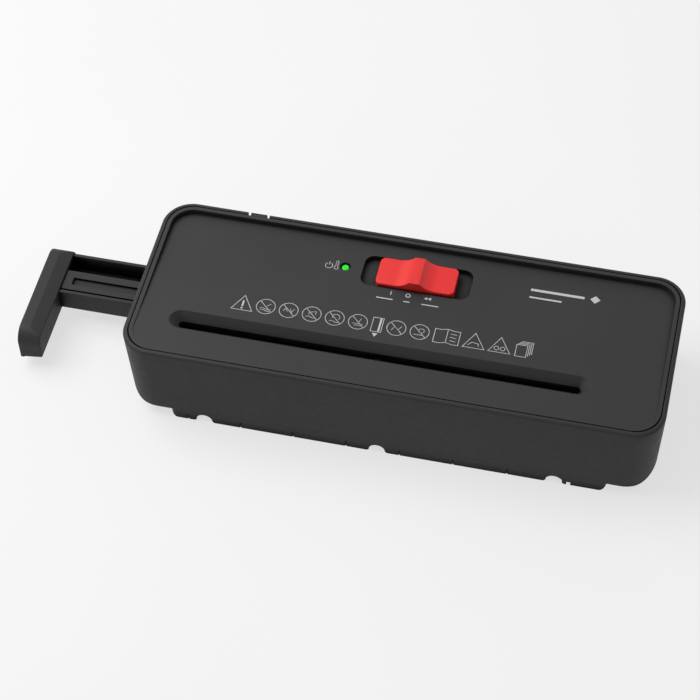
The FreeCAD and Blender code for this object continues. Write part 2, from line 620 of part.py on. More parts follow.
def gear_outline(module, teeth, phase):
    """Closed outline of an involute gear, its first tooth at angle phase from +Y."""
    pitch_radius = module * teeth / 2
    base_radius = pitch_radius * math.cos(math.radians(20))
    tip_radius = pitch_radius + 0.95 * module
    root_radius = pitch_radius - 1.3 * module
    half_tooth = math.pi / (2 * teeth) - SIZE["backlash"] / 2 / (2 * pitch_radius)
    pitch_involute = math.tan(math.radians(20)) - math.radians(20)
    start = max(base_radius, root_radius)
    flank = []
    for step in range(5):
        radius = start + (tip_radius - start) * step / 4
        pressure = math.acos(min(1, base_radius / radius))
        flank.append((radius, half_tooth + pitch_involute - (math.tan(pressure) - pressure)))
    if root_radius < base_radius:
        # small gears are undercut below the base circle
        flank.insert(0, (root_radius, flank[0][1] * 0.8))
    points = []
    for tooth in range(teeth):
        middle = phase + 2 * math.pi * tooth / teeth
        points += [turned(radius, middle - angle) for radius, angle in flank]
        points += [turned(radius, middle + angle) for radius, angle in reversed(flank)]
    return Part.makePolygon(points + points[:1])


def gear(module, teeth, phase, x, width, place, bore):
    """A spur gear between x and x + width."""
    hole = Part.Wire(Part.Circle(FreeCAD.Vector(0, 0, 0), FreeCAD.Vector(1, 0, 0), bore).toShape())
    face = Part.Face([gear_outline(module, teeth, phase), hole])
    face.validate()
    wheel = face.extrude(FreeCAD.Vector(width, 0, 0))
    wheel.translate(FreeCAD.Vector(x, place[0], place[1]))
    return wheel


def gap_phase(teeth, towards):
    """Phase that puts a gap between teeth at the angle towards."""
    return towards + math.pi / teeth


def gear_train():
    """Drive gear, two compound gears and the motor pinion, all on one level line of axes."""
    level = SIZE["axis_z"]
    width = SIZE["gear_width"]
    drive_m, middle_m, input_m = SIZE["drive_module"], SIZE["middle_module"], SIZE["input_module"]
    first, second, third = SIZE["stage_1_x"], SIZE["stage_2_x"], SIZE["stage_3_x"]
    rear = (SIZE["rear_y"], level)
    middle = (rear[0] + drive_m * (SIZE["drive_teeth"] + SIZE["drive_pinion"]) / 2, level)
    feed = (middle[0] + middle_m * (SIZE["middle_teeth"] + SIZE["middle_pinion"]) / 2, level)
    motor = (feed[0] + input_m * (SIZE["input_teeth"] + SIZE["input_pinion"]) / 2, level)
    running = SIZE["pin_radius"] + SIZE["bush_gap"]
    node("drive_gear", free_shape(
        gear(drive_m, SIZE["drive_teeth"], 0, first, width, rear, SIZE["shaft_radius"])))
    pinion = gear(drive_m, SIZE["drive_pinion"], gap_phase(SIZE["drive_pinion"], math.pi),
                  first, width, middle, running)
    wheel = gear(middle_m, SIZE["middle_teeth"], 0, second, width, middle, running)
    node("middle_gear", free_shape(joined(pinion, wheel, first + width, second, middle, 3.6, running)))
    pinion = gear(middle_m, SIZE["middle_pinion"], gap_phase(SIZE["middle_pinion"], math.pi),
                  second, width, feed, running)
    wheel = gear(input_m, SIZE["input_teeth"], 0, third, width, feed, running)
    node("input_gear", free_shape(joined(pinion, wheel, second + width, third, feed, 3.3, running)))
    node("motor_pinion", free_shape(
        gear(input_m, SIZE["input_pinion"], gap_phase(SIZE["input_pinion"], math.pi),
             third, width, motor, SIZE["motor_shaft"])))


def joined(pinion, wheel, left, right, place, hub_radius, bore):
    """Two gears on one hub."""
    start = FreeCAD.Vector(left, place[0], place[1])
    along = FreeCAD.Vector(1, 0, 0)
    hub = Part.makeCylinder(hub_radius, right - left, start, along)
    hole = Part.makeCylinder(bore, right - left, start, along)
    return pinion.fuse([wheel, hub.cut(hole)]).removeSplitter()


def sync_gears():
    """Equal gears outside the left plate that turn the two cutters against each other."""
    sizes = (SIZE["sync_module"], SIZE["sync_teeth"])
    rear = gear(*sizes, math.pi, SIZE["sync_x"], SIZE["sync_width"],
                (SIZE["rear_y"], SIZE["axis_z"]), SIZE["shaft_radius"])
    front = gear(*sizes, gap_phase(SIZE["sync_teeth"], 0), SIZE["sync_x"], SIZE["sync_width"],
                 (SIZE["front_y"], SIZE["axis_z"]), SIZE["shaft_radius"])
    node("rear_sync_gear", free_shape(rear))
    node("front_sync_gear", free_shape(front))


def shaft_clip(left, y):
    """Retaining ring at the end of a cutter shaft."""
    return ring("x", (left, f"{left} + 0.9"), (y, "axis_z"), "spacer_radius", "shaft_radius")


def cutters():
    """Both cutting rollers: shaft, discs, spacers and clips."""
    first = SIZE["first_disc"]
    shift = SIZE["disc_pitch"] / 2
    count = SIZE["disc_count"]
    node("rear_cutter_shaft", rod("x", ("sync_x - 1.2", "stage_1_x + gear_width + 1.2"),
                                  ("rear_y", "axis_z"), "shaft_radius"))
    node("front_cutter_shaft", rod("x", ("sync_x - 1.2", "stage_1_x - 0.6"),
                                   ("front_y", "axis_z"), "shaft_radius"))
    node("rear_cutter_discs", cutter_discs(SIZE["rear_y"], first, count))
    node("front_cutter_discs", cutter_discs(SIZE["front_y"], first + shift, count))
    node("rear_disc_spacers", disc_spacers("rear_y", "first_disc", count))
    node("front_disc_spacers", disc_spacers("front_y", "first_disc - disc_pitch / 2", count))
    node("rear_shaft_clips", group(shaft_clip("sync_x - 0.95", "rear_y"),
                                   shaft_clip("stage_1_x + gear_width + 0.05", "rear_y")))
    node("front_shaft_clip", shaft_clip("sync_x - 0.95", "front_y"))


def cutter_frame():
    """Side plates, tie rods and nuts, bushes, strippers and the gearbox's fixed pieces."""
    node("left_side_plate", side_plate("left_plate", ("plate_front", "plate_rear"), []))
    gearbox_holes = [((MIDDLE_Y, "axis_z"), "pin_radius"), ((INPUT_Y, "axis_z"), "pin_radius"),
                     ((MOTOR_Y, "axis_z"), "motor_shaft + 2")]
    gearbox_holes += [((f"{MOTOR_Y} {sign} 9", "axis_z"), "screw_radius") for sign in "+-"]
    node("right_side_plate", side_plate("right_plate", ("plate_front", "49"), gearbox_holes))
    node("tie_rods", group(*[rod("x", ("left_plate - 1.5", "right_plate + plate_thick + 1.5"), place,
                                 "rod_radius") for place in ROD_PLACES]))
    caps = []
    for place in ROD_PLACES:
        caps.append(ring("x", ("left_plate - 1.5", "left_plate"), place, "rod_radius + 1.2", "rod_radius"))
        caps.append(ring("x", ("right_plate + plate_thick", "right_plate + plate_thick + 1.5"), place,
                         "rod_radius + 1.2", "rod_radius"))
    node("tie_rod_nuts", group(*caps))
    node("cutter_bushes", cutter_bushes())
    rear_bar = ("rear_y + 10.6", "rear_y + 14")
    front_bar = ("front_y - 14", "front_y - 10.6")
    node("rear_stripper", stripper(rear_bar, ("rear_y + 6.5", "rear_y + 10.6"), "first_disc",
                                   SIZE["disc_count"] - 1))
    node("front_stripper", stripper(front_bar, ("front_y - 10.6", "front_y - 6.5"),
                                    "first_disc + disc_pitch / 2", SIZE["disc_count"] - 1))
    pin_span = ("right_plate", "end_plate + end_thick")
    node("gear_pins", group(*[rod("x", pin_span, (place, "axis_z"), "pin_radius")
                              for place in (MIDDLE_Y, INPUT_Y)]))
    span = ("end_plate", "end_plate + end_thick")
    through = ("end_plate - 1", "end_plate + end_thick + 1")
    holes = [rod("x", through, place, "pin_radius") for place in ((MIDDLE_Y, "axis_z"), (INPUT_Y, "axis_z"))]
    holes += [rod("x", through, place, "screw_radius") for place in STANDOFFS]
    node("gearbox_end_plate", cut(rounded_plate(span, ("-49", "45.5"), ("11", "45.5"), "4"), *holes))
    stand_span = ("right_plate + plate_thick", "end_plate")
    node("gearbox_standoffs", group(*[ring("x", stand_span, place, "3", "screw_radius")
                                      for place in STANDOFFS]))
    node("gearbox_screws", group(*[
        fuse(rod("x", ("end_plate - 8", "end_plate + end_thick"), place, "screw_radius"),
             rod("x", ("end_plate + end_thick", "end_plate + end_thick + 1.4"), place, "screw_head"))
        for place in STANDOFFS]))


# ---------------------------------------------------------------- motor

def slotted_core():
    """Laminated armature core: a round pad with eight winding slots."""
    body = doc.addObject("PartDesign::Body", "core")
    circle = body.newObject("Sketcher::SketchObject", "circle")
    circle.AttachmentSupport = [(origin_plane(body, "YZ_Plane"), "")]
    circle.MapMode = "FlatFace"
    circle.addGeometry(Part.Circle(FreeCAD.Vector(0, 0, 0), FreeCAD.Vector(0, 0, 1), 10))
    circle.addGeometry(Part.Circle(FreeCAD.Vector(0, 0, 0), FreeCAD.Vector(0, 0, 1), 2))
    for index, radius in enumerate(("armature_radius", "motor_shaft")):
        circle.addConstraint(Sketcher.Constraint("Coincident", index, 3, -1, 1))
        place = circle.addConstraint(Sketcher.Constraint("Radius", index, 5.0 + index))
        circle.setExpression(f"Constraints[{place}]", cells(radius))
    pad(body, circle, "32")
    slot = rectangle_sketch(body, "YZ_Plane", ("-1.2", "1.2"), ("4.5", "armature_radius + 2"))
    pocket = body.newObject("PartDesign::Pocket", "slot")
    pocket.Profile = slot
    pocket.Type = "ThroughAll"
    pocket.Midplane = True
    doc.recompute()
    turns = body.newObject("PartDesign::PolarPattern", "slots")
    turns.Originals = [pocket]
    turns.Axis = (origin_plane(body, "X_Axis"), [""])
    turns.Angle = 360
    turns.Occurrences = 8
    body.Tip = turns
    doc.recompute()
    assert turns.Shape.Volume < pocket.Shape.Volume
    bind(body, Placement__Base__x="can_left + 11", Placement__Base__y=MOTOR_Y,
         Placement__Base__z="axis_z")
    return body


def motor():
    """Direct-current motor on the right plate, its shaft through the gearbox."""
    centre = (MOTOR_Y, "axis_z")
    body = rod("x", ("can_left", "right_plate"), centre, "can_radius")
    bore = rod("x", ("can_left - 1", "right_plate - 1.5"), centre, "can_radius - can_wall")
    shaft_hole = rod("x", ("bell_left - 5", "right_plate + 5"), centre, "motor_shaft + bush_gap")
    screw_places = [(f"{MOTOR_Y} {sign} 9", "axis_z") for sign in "+-"]
    screw_holes = [rod("x", ("right_plate - 3", "right_plate + 1"), place, "screw_radius")
                   for place in screw_places]
    node("motor_can", cut(body, bore, shaft_hole, *screw_holes))
    bell = rod("x", ("bell_left + 1", "can_left"), centre, "can_radius")
    boss = rod("x", ("bell_left - 1", "bell_left + 1"), centre, "5")
    bell_room = rod("x", ("bell_left + 3", "can_left + 1"), centre, "can_radius - 2")
    node("motor_end_bell", cut(fuse(bell, boss), bell_room,
                               rod("x", ("bell_left - 5", "right_plate"), centre, "motor_shaft + bush_gap")))
    magnet_span = ("can_left + 6", "right_plate - 4")
    magnets = ring("x", magnet_span, centre, "can_radius - can_wall", "magnet_inner")
    gap = box(("can_left", "right_plate"), (f"{MOTOR_Y} - 20", f"{MOTOR_Y} + 20"),
              ("axis_z - 4", "axis_z + 4"))
    node("motor_magnets", cut(magnets, gap))
    shaft_ends = ("bell_left - 2", "stage_3_x + gear_width + 0.6")
    node("motor_shaft_rod", rod("x", shaft_ends, centre, "motor_shaft"))
    node("motor_armature", slotted_core())
    coil_ends = [ring("x", span, centre, "armature_radius - 1.2", "motor_shaft")
                 for span in (("can_left + 8", "can_left + 11"), ("can_left + 43", "can_left + 46"))]
    node("armature_windings", group(*coil_ends))
    node("commutator", ring("x", ("can_left + 1", "can_left + 7"), centre, "commutator_radius",
                            "motor_shaft"))
    brushes = [box(("can_left + 2.5", "can_left + 5.5"), (f"{MOTOR_Y} - 1.5", f"{MOTOR_Y} + 1.5"), span)
               for span in (("axis_z + commutator_radius + 0.1", "axis_z + 13"),
                            ("axis_z - 13", "axis_z - commutator_radius - 0.1"))]
    node("motor_brushes", group(*brushes))
    plate_face = "right_plate + plate_thick"
    node("motor_screws", group(*[
        fuse(rod("x", ("right_plate - 1.5", plate_face), place, "screw_radius"),
             rod("x", (plate_face, f"{plate_face} + 1.4"), place, "screw_head"))
        for place in screw_places]))


# ---------------------------------------------------------------- switch, board and sensor

def switch_slider():
    """Red slide button: flat ends, a raised middle ridge with hollow ramps, and a stem below."""
    half = "slider_length / 2"
    low = "recess_floor + slider_lift"
    top = "recess_floor + slider_lift + slider_edge"
    y = ("switch_y - slider_depth / 2", "switch_y + slider_depth / 2")
    base = rounded_block((f"switch_x - {half}", f"switch_x + {half}"), y, (low, top), "slider_radius")
    reach = "(ridge_width / 2 + ramp_length)"
    ridge = box((f"switch_x - {reach}", f"switch_x + {reach}"), y, (f"{low} + 1", f"{top} + ridge_rise"))
    ramp = "((ramp_length ^ 2 + ridge_rise ^ 2) / (2 * ridge_rise))"
    hollows = [rod("y", ("0", "60"), (f"switch_x {sign} {reach}", f"{top} + {ramp}"), ramp)
               for sign in "+-"]
    stem = box(("switch_x - stem_length / 2", "switch_x + stem_length / 2"),
               ("switch_y - stem_depth / 2", "switch_y + stem_depth / 2"),
               ("recess_floor - 6.4", f"{low} + 1"))
    button = eased(fuse(base, cut(ridge, *hollows)), "slider_ease",
                   lambda edge: edge.BoundBox.ZMax > SIZE["recess_floor"] + 2)
    node("switch_slider", fuse(button, stem))


def switch_unit():
    """Body of the slide switch under its recess, with solder tags."""
    body = box(("switch_x - 21", "switch_x + 21"), ("switch_y - 7", "switch_y + 7"),
               ("recess_floor - 16", "recess_floor - 2.2"))
    room = box(("switch_x - stem_length / 2 - slider_travel - 0.4",
                "switch_x + stem_length / 2 + slider_travel + 0.4"),
               ("switch_y - stem_depth / 2 - 0.3", "switch_y + stem_depth / 2 + 0.3"),
               ("recess_floor - 7", "recess_floor"))
    node("switch_body", cut(body, room))
    tags = [box((f"switch_x + {place} - 1.6", f"switch_x + {place} + 1.6"),
                (f"switch_y {sign} 3.5 - 0.4", f"switch_y {sign} 3.5 + 0.4"),
                ("recess_floor - 22", "recess_floor - 16")) for place in (-14, 0, 14) for sign in "+-"]
    node("switch_terminals", group(*tags))


def board():
    """Control board under the cover with its parts and the power light."""
    plate = box(("-90", "-34"), ("9", "49"), ("board_z", "board_z + board_thick"))
    holes = [rod("z", ("board_z - 1", "board_z + 3"), place, "1.1") for place in BOARD_SCREWS]
    node("control_board", cut(plate, *holes))
    node("noise_capacitor", box(("-82", "-64"), ("17", "25"), ("board_z - 13", "board_z")))
    node("relay", box(("-60", "-44"), ("17", "29"), ("board_z - 14", "board_z")))
    block = box(("-80", "-62"), ("34", "42"), ("board_z - 10", "board_z"))
    wire_holes = [rod("y", ("40", "43"), (place, "board_z - 6"), "1.6") for place in ("-76", "-71", "-66")]
    node("terminal_block", cut(block, *wire_holes))
    node("fuse", rod("x", ("-58", "-40"), ("37", "board_z - 2.6"), "2.6"))
    lens = rod("z", ("board_z + board_thick", "light_top"), ("light_x", "light_y"), "light_radius")
    node("power_light", eased(lens, "light_round", lambda edge: edge.BoundBox.ZMin > SIZE["light_top"] - 1))
    node("board_screws", screws(BOARD_SCREWS, "board_z", "board_thick + 5", "1.1", "2", "1.2"))


def paper_sensor():
    """Lever that the sheet pushes down in the throat, its pin and the micro switch above its tail."""
    x = ("slot_x - 1.6", "slot_x + 1.6")
    blade = box(x, ("slot_y - 1.4", "sensor_y + 2.5"), ("sensor_z - 0.8", "sensor_z + 0.8"))
    hub = rod("x", x, ("sensor_y", "sensor_z"), "sensor_pin + 1.1")
    bore = rod("x", ("slot_x - 5", "slot_x + 5"), ("sensor_y", "sensor_z"), "sensor_pin + bush_gap")
    node("sensor_lever", cut(fuse(blade, hub), bore))
    node("sensor_pin_rod", rod("x", ("slot_x - 4.6", "slot_x + 4.6"), ("sensor_y", "sensor_z"), "sensor_pin"))
    case = box(("slot_x - 2.4", "slot_x + 2.4"), ("sensor_y + 0.2", "sensor_y + 10"),
               ("sensor_z + 3.2", "body_top - 4.4"))
    plunger = box(("slot_x - 0.8", "slot_x + 0.8"), ("sensor_y + 0.8", "sensor_y + 2.4"),
                  ("sensor_z + 2.4", "sensor_z + 4"))
    node("sensor_switch", fuse(case, plunger))


# ---------------------------------------------------------------- arm

def arm():
    """Pull-out arm: channel-shaped rail with a stop below its end, centre bar and hooked handle."""
    x = ("handle_right", "arm_end")
    y = ("arm_front", "arm_rear")
    rail = box(x, y, ("arm_base", "arm_top"))
    trough = box(("handle_right - 1", "arm_end + 1"), ("arm_front + arm_wall", "arm_rear - arm_wall"),
                 ("arm_base + 2", "arm_top + 1"))
    stop = box(("arm_end - 6", "arm_end - 2"), ("arm_front + 7", "arm_rear - 7"),
               ("body_base + 0.5", "arm_base + 1"))
    node("arm_rail", fuse(cut(rail, trough), stop))
    bar = box(("handle_right", "arm_end - 2"), ("arm_front + arm_wall + 1.3", "bar_rear"),
              ("arm_base + 2", "arm_top - 0.3"))
    pocket = box(("pocket_left", "pocket_left + pocket_length"),
                 ("pocket_front", "pocket_front + pocket_width"),
                 ("arm_top - pocket_depth", "arm_top + 1"))
    node("arm_centre_bar", cut(bar, pocket))
    groove = box(("handle_left + hook_width", "handle_right - 2"), ("handle_front + 2", "handle_rear - 2"),
                 ("handle_base - handle_fall - 1", "handle_base + 3"))
    lip = box(("handle_left", "handle_left + hook_width"), ("handle_front + 0.4", "handle_rear - 0.4"),
              ("handle_base - handle_fall - hook_drop", "handle_base"))
    handle = eased(handle_block(), "handle_ease",
                   lambda edge: edge.BoundBox.ZMax > SIZE["handle_base"] + 1)
    node("arm_handle", fuse(cut(handle, groove), lip))


def handle_block():
    """Handle block with rounded upper ends, a bevel towards the body and an underside that falls away."""
    body = doc.addObject("PartDesign::Body", "handle_block")
    sketch = rectangle_sketch(body, "YZ_Plane", ("handle_front", "handle_rear"),
                              ("handle_base - handle_fall", "handle_top"), "handle_left")
    block = pad(body, sketch, "handle_right - handle_left")
    round_edges(body, block, "handle_round",
                lambda edge: along_x(edge) and edge.Vertexes[0].Point.z > SIZE["handle_top"] - 1)
    bevel = tilted_cutter(("0", "30"), ("0", "20"), SIZE["handle_bevel"] / SIZE["bevel_run"],
                          "handle_right - bevel_run", "handle_top")
    width = SIZE["handle_right"] - SIZE["handle_left"]
    underside = tilted_cutter(("-30", "0"), ("-20", "0"), -SIZE["handle_fall"] / width,
                              "handle_right", "handle_base")
    return cut(body, bevel, underside)


def tilted_cutter(x, z, slope, place_x, place_z):
    """A block wider than the handle, turned about Y so that it falls with the given slope."""
    block = box(x, ("-60", "60"), z)
    turned = group(block)
    turned.Placement.Rotation = FreeCAD.Rotation(FreeCAD.Vector(0, 1, 0), math.degrees(math.atan(slope)))
    return bind(turned, Placement__Base__x=place_x, Placement__Base__z=place_z)


def arm_channel():
    """Guide that holds the rail against the floor, and the plate that closes it from below."""
    x = ("-body_length / 2 + 17", "channel_end + channel_wall")
    inner = ("arm_front - arm_gap", "arm_rear + arm_gap")
    floor_top = "body_base + floor"
    hood = box(x, (f"{inner[0]} - channel_wall", f"{inner[1]} + channel_wall"),
               (floor_top, "arm_top + arm_gap + channel_wall"))
    flange = box(("left_plate + 6", "channel_end + channel_wall"), ("arm_front - 5.8", "arm_rear + 5.8"),
                 (floor_top, f"{floor_top} + 1.2"))
    room = box(("-body_length / 2", "channel_end"), inner, ("body_base", "arm_top + arm_gap"))
    holes = [rod("z", ("body_base", "body_base + 6"), place, "screw_radius") for place in CHANNEL_SCREWS]
    node("arm_channel", cut(fuse(hood, flange), room, *holes))
    plate = box(("-skirt_left + skirt_wall + 0.5", "channel_end + 2"), ("arm_front - 5.6", "arm_rear + 5.6"),
                ("body_base - 2", "body_base - 0.05"))
    holes = [rod("z", ("body_base - 4", "body_base + 1"), place, "screw_radius + 0.15")
             for place in CHANNEL_SCREWS]
    node("arm_channel_plate", cut(plate, *holes))


def cable_bush():
    """Grommet in the rear wall where the mains lead would enter."""
    place = ("inlet_x", "inlet_z")
    sleeve = rod("y", ("inlet_seat - 3.5", "inlet_seat"), place, "inlet_radius")
    outer = rod("y", ("inlet_seat", "inlet_seat + 1.1"), place, "inlet_flange")
    inner = rod("y", ("inlet_seat - 3.8", "inlet_seat - 2.4"), place, "inlet_flange - 0.6")
    bore = rod("y", ("inlet_seat - 8", "inlet_seat + 8"), place, "inlet_bore")
    node("cable_bush", cut(fuse(sleeve, outer, inner), bore))


def cover_screws():
    """Long screws from below through the tub's posts into the cover's posts."""
    node("cover_screws", screws(POSTS, "body_base + 5", "post_joint - body_base + 2", "screw_radius",
                                "screw_head", "1.8"))


node("lower_housing", lower_housing())
node("top_cover", top_cover())
node("paper_chute", paper_chute())
node("strip_guard", strip_guard())
cutters()
sync_gears()
cutter_frame()
gear_train()
motor()
switch_slider()
switch_unit()
board()
paper_sensor()
arm()
arm_channel()
cable_bush()
cover_screws()
node("base_screws", screws(GUARD_SCREWS + CHANNEL_SCREWS, "body_base - 2", "4.5", "screw_radius",
                           "screw_head", "1.4"))
doc.recompute()

for obj in doc.Objects:
    if "Invalid" in obj.State or "Error" in obj.State:
        raise SystemExit(f"{obj.Name} ({obj.Label}) failed: {obj.State}")
os.makedirs("parts", exist_ok=True)
for piece in NODES:
    if piece.Shape.isNull() or not piece.Shape.isValid():
        raise SystemExit(f"{piece.Label} has no valid shape")
    piece.Shape.exportStep(f"parts/{piece.Label}.step")
print(f"{len(NODES)} sub-parts written")
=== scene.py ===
"""Looks of the paper shredder head: finishes, printed marks, light and camera.

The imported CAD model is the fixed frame. Everything here is in metres, with X along the feed
slot, Y to the back and Z up, and every place is worked out from the CAD nodes' own boxes.
"""
import json
import math

import bmesh
import bpy
from mathutils import Matrix, Vector


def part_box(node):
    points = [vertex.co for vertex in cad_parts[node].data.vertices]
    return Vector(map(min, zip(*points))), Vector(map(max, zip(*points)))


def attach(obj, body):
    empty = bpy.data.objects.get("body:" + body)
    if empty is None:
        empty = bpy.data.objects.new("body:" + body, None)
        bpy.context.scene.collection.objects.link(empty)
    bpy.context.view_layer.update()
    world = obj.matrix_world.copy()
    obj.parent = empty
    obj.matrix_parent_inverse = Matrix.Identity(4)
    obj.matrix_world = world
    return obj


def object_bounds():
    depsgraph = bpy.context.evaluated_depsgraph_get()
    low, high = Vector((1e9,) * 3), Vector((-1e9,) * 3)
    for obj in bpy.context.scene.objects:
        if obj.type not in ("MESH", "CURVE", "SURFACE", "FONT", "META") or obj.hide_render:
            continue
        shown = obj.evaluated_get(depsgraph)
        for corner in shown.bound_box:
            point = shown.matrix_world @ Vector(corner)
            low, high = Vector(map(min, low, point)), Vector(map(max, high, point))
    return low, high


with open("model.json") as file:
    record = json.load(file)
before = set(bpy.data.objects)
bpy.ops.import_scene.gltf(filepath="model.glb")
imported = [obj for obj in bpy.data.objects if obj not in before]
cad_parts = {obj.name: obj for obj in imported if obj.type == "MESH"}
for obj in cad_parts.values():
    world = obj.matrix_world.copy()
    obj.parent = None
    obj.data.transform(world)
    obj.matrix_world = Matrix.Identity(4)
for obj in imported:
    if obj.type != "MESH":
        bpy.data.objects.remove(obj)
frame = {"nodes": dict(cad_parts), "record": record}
CAD_LOW, CAD_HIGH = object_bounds()
MM = 0.001


# ---------------------------------------------------------------- places read from the frame

HOUSING_LOW, HOUSING_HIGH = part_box("lower_housing")
COVER_LOW, COVER_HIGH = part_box("top_cover")
MIDDLE_X = (COVER_LOW.x + COVER_HIGH.x) / 2
RIM_TOP = COVER_HIGH.z
RIM_CENTRE = Vector((MIDDLE_X, 0, RIM_TOP))
# the cover's sunken panel falls from flush at the front to this depth at the back
PANEL_SINK = 3.4 * MM
RIM_WIDTH = 2.3 * MM
PANEL_BACK = COVER_HIGH.y - RIM_WIDTH
PANEL_FRONT = -47 * MM
SLIDER_LOW, SLIDER_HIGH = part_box("switch_slider")
SWITCH_X = (SLIDER_LOW.x + SLIDER_HIGH.x) / 2
LIGHT_LOW, LIGHT_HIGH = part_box("power_light")
LIGHT_CENTRE = (LIGHT_LOW + LIGHT_HIGH) / 2


def panel_height(y):
    """Height of the cover's sloping panel at a distance y from the middle."""
    return RIM_TOP - PANEL_SINK * (y - PANEL_FRONT) / (PANEL_BACK - PANEL_FRONT)


# ---------------------------------------------------------------- materials

EDGE_ROUNDING = 0.35 * MM
# reach of the painted shade: how far off a surface still closes a hollow
HOLLOW_REACH = 12 * MM
# a surface that sees at least this share of open sky keeps its full colour, free of painted shade
OPEN_SKY = 0.8
# share of the colour that the painted shade leaves in a closed hollow
DARKEST = 0.05
# middle stretch of a noise texture's values, where nearly all of them lie
NOISE_LOW = 0.3
NOISE_HIGH = 0.7
MOULD_GRAIN_DEPTH = 0.04 * MM
SCRATCH_DEPTH = 0.03 * MM


def new_material(name):
    material = bpy.data.materials.new(name)
    material.use_nodes = True
    shader = material.node_tree.nodes["Principled BSDF"]
    return material, material.node_tree.nodes, material.node_tree.links, shader


def noise(nodes, links, scale, detail=3.0, stretch=(1, 1, 1)):
    """A noise texture fixed to the object, stretched along its axes; returns its value socket."""
    place = nodes.new("ShaderNodeTexCoord")
    mapping = nodes.new("ShaderNodeMapping")
    mapping.inputs["Scale"].default_value = stretch
    texture = nodes.new("ShaderNodeTexNoise")
    texture.inputs["Scale"].default_value = scale
    texture.inputs["Detail"].default_value = detail
    links.new(place.outputs["Object"], mapping.inputs["Vector"])
    links.new(mapping.outputs["Vector"], texture.inputs["Vector"])
    return texture.outputs["Fac"]


def spread(nodes, links, value, low, high):
    """Map a noise value to a range."""
    fit = nodes.new("ShaderNodeMapRange")
    fit.inputs["From Min"].default_value = NOISE_LOW
    fit.inputs["From Max"].default_value = NOISE_HIGH
    fit.inputs["To Min"].default_value = low
    fit.inputs["To Max"].default_value = high
    links.new(value, fit.inputs["Value"])
    return fit.outputs["Result"]


def tint(nodes, links, value, dark, light):
    """Blend between two colours by a noise value."""
    ramp = nodes.new("ShaderNodeValToRGB")
    ramp.color_ramp.elements[0].position = NOISE_LOW
    ramp.color_ramp.elements[0].color = (*dark, 1)
    ramp.color_ramp.elements[1].position = NOISE_HIGH
    ramp.color_ramp.elements[1].color = (*light, 1)
    links.new(value, ramp.inputs["Fac"])
    return ramp.outputs["Color"]


def bump(nodes, links, shader, height, strength, distance):
    """Surface relief on top of softly rounded edges."""
    edge = nodes.new("ShaderNodeBevel")
    edge.samples = 4
    edge.inputs["Radius"].default_value = EDGE_ROUNDING
    relief = nodes.new("ShaderNodeBump")
    relief.inputs["Strength"].default_value = strength
    relief.inputs["Distance"].default_value = distance
    links.new(edge.outputs["Normal"], relief.inputs["Normal"])
    links.new(height, relief.inputs["Height"])
    links.new(relief.outputs["Normal"], shader.inputs["Normal"])


def painted_hollow_shade(nodes, links, colour, reach, closed):
    """Paint shade into a colour in gaps and hollows, down to almost black where they are this closed."""
    hollow = nodes.new("ShaderNodeAmbientOcclusion")
    hollow.samples = 8
    hollow.inputs["Distance"].default_value = reach
    fit = nodes.new("ShaderNodeMapRange")
    fit.inputs["From Min"].default_value = closed
    fit.inputs["From Max"].default_value = OPEN_SKY
    fit.inputs["To Min"].default_value = DARKEST
    fit.inputs["To Max"].default_value = 1.0
    links.new(hollow.outputs["AO"], fit.inputs["Value"])
    blend = nodes.new("ShaderNodeVectorMath")
    blend.operation = "SCALE"
    links.new(colour, blend.inputs[0])
    links.new(fit.outputs["Result"], blend.inputs["Scale"])
    return blend.outputs["Vector"]


def moulded(name, colour, roughness, grain, relief, variation=0.05, coat=0.0, gloss=0.5,
            reach=HOLLOW_REACH, closed=0.4):
    """Injection-moulded plastic: fine spark-eroded grain over slow random changes of tone, with painted
    shade in gaps and hollows.
    """
    material, nodes, links, shader = new_material(name)
    slow = noise(nodes, links, 18, 2)
    dark = [channel * (1 - variation) for channel in colour]
    light = [channel * (1 + variation) for channel in colour]
    # base colour: random tone, darkened by painted shade in gaps and hollows
    base = painted_hollow_shade(nodes, links, tint(nodes, links, slow, dark, light), reach, closed)
    links.new(base, shader.inputs["Base Color"])
    shader.inputs["Specular IOR Level"].default_value = gloss
    mottling = noise(nodes, links, 260, 3)
    links.new(spread(nodes, links, mottling, roughness - 0.05, roughness + 0.06),
              shader.inputs["Roughness"])
    bump(nodes, links, shader, noise(nodes, links, grain, 2), relief, MOULD_GRAIN_DEPTH)
    shader.inputs["Coat Weight"].default_value = coat
    shader.inputs["Coat Roughness"].default_value = 0.15
    return material


def metal(name, colour, roughness, stretch, scale=900, relief=0.25):
    """Worked metal: fine scratches along one direction and uneven polish."""
    material, nodes, links, shader = new_material(name)
    shader.inputs["Metallic"].default_value = 1.0
    scratches = noise(nodes, links, scale, 4, stretch)
    dark = [channel * 0.82 for channel in colour]
    links.new(tint(nodes, links, scratches, dark, colour), shader.inputs["Base Color"])
    patches = noise(nodes, links, 90, 3)
    links.new(spread(nodes, links, patches, roughness - 0.08, roughness + 0.1),
              shader.inputs["Roughness"])
    bump(nodes, links, shader, scratches, relief, SCRATCH_DEPTH)
    return material


def lit_lens(name, colour, strength):
    """Diffused coloured lens with a lamp behind it."""
    material, nodes, links, shader = new_material(name)
    cloudy = noise(nodes, links, 700, 2)
    dark = [channel * 0.8 for channel in colour]
    links.new(tint(nodes, links, cloudy, dark, colour), shader.inputs["Base Color"])
    links.new(spread(nodes, links, cloudy, 0.12, 0.25), shader.inputs["Roughness"])
    shader.inputs["Emission Color"].default_value = (*colour, 1)
    shader.inputs["Emission Strength"].default_value = strength
    return material


